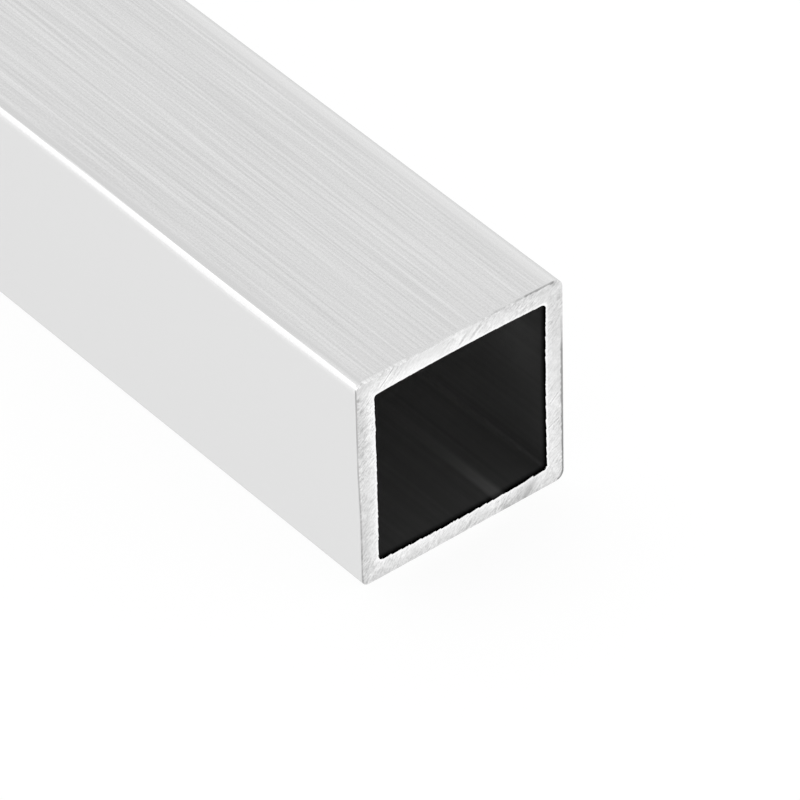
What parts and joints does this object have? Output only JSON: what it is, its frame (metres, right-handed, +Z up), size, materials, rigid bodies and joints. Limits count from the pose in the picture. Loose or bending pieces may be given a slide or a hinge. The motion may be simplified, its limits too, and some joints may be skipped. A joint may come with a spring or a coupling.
{
  "type": "square metal tube",
  "caption": "Length of square aluminium tube with flat walls, an open square bore and squarely sawn ends, used as framing stock.",
  "frame": {"origin": "middle of the underside, halfway along the tube", "axes": "+X along the tube, +Y across it, +Z up from the level surface that it lies on"},
  "size_m": [0.3, 0.03, 0.03],
  "materials": {
    "tube": "satin, with fine die lines along the tube"
  },
  "bodies": {
    "root": {"square_tube": "tube"}
  },
  "joints": []
}
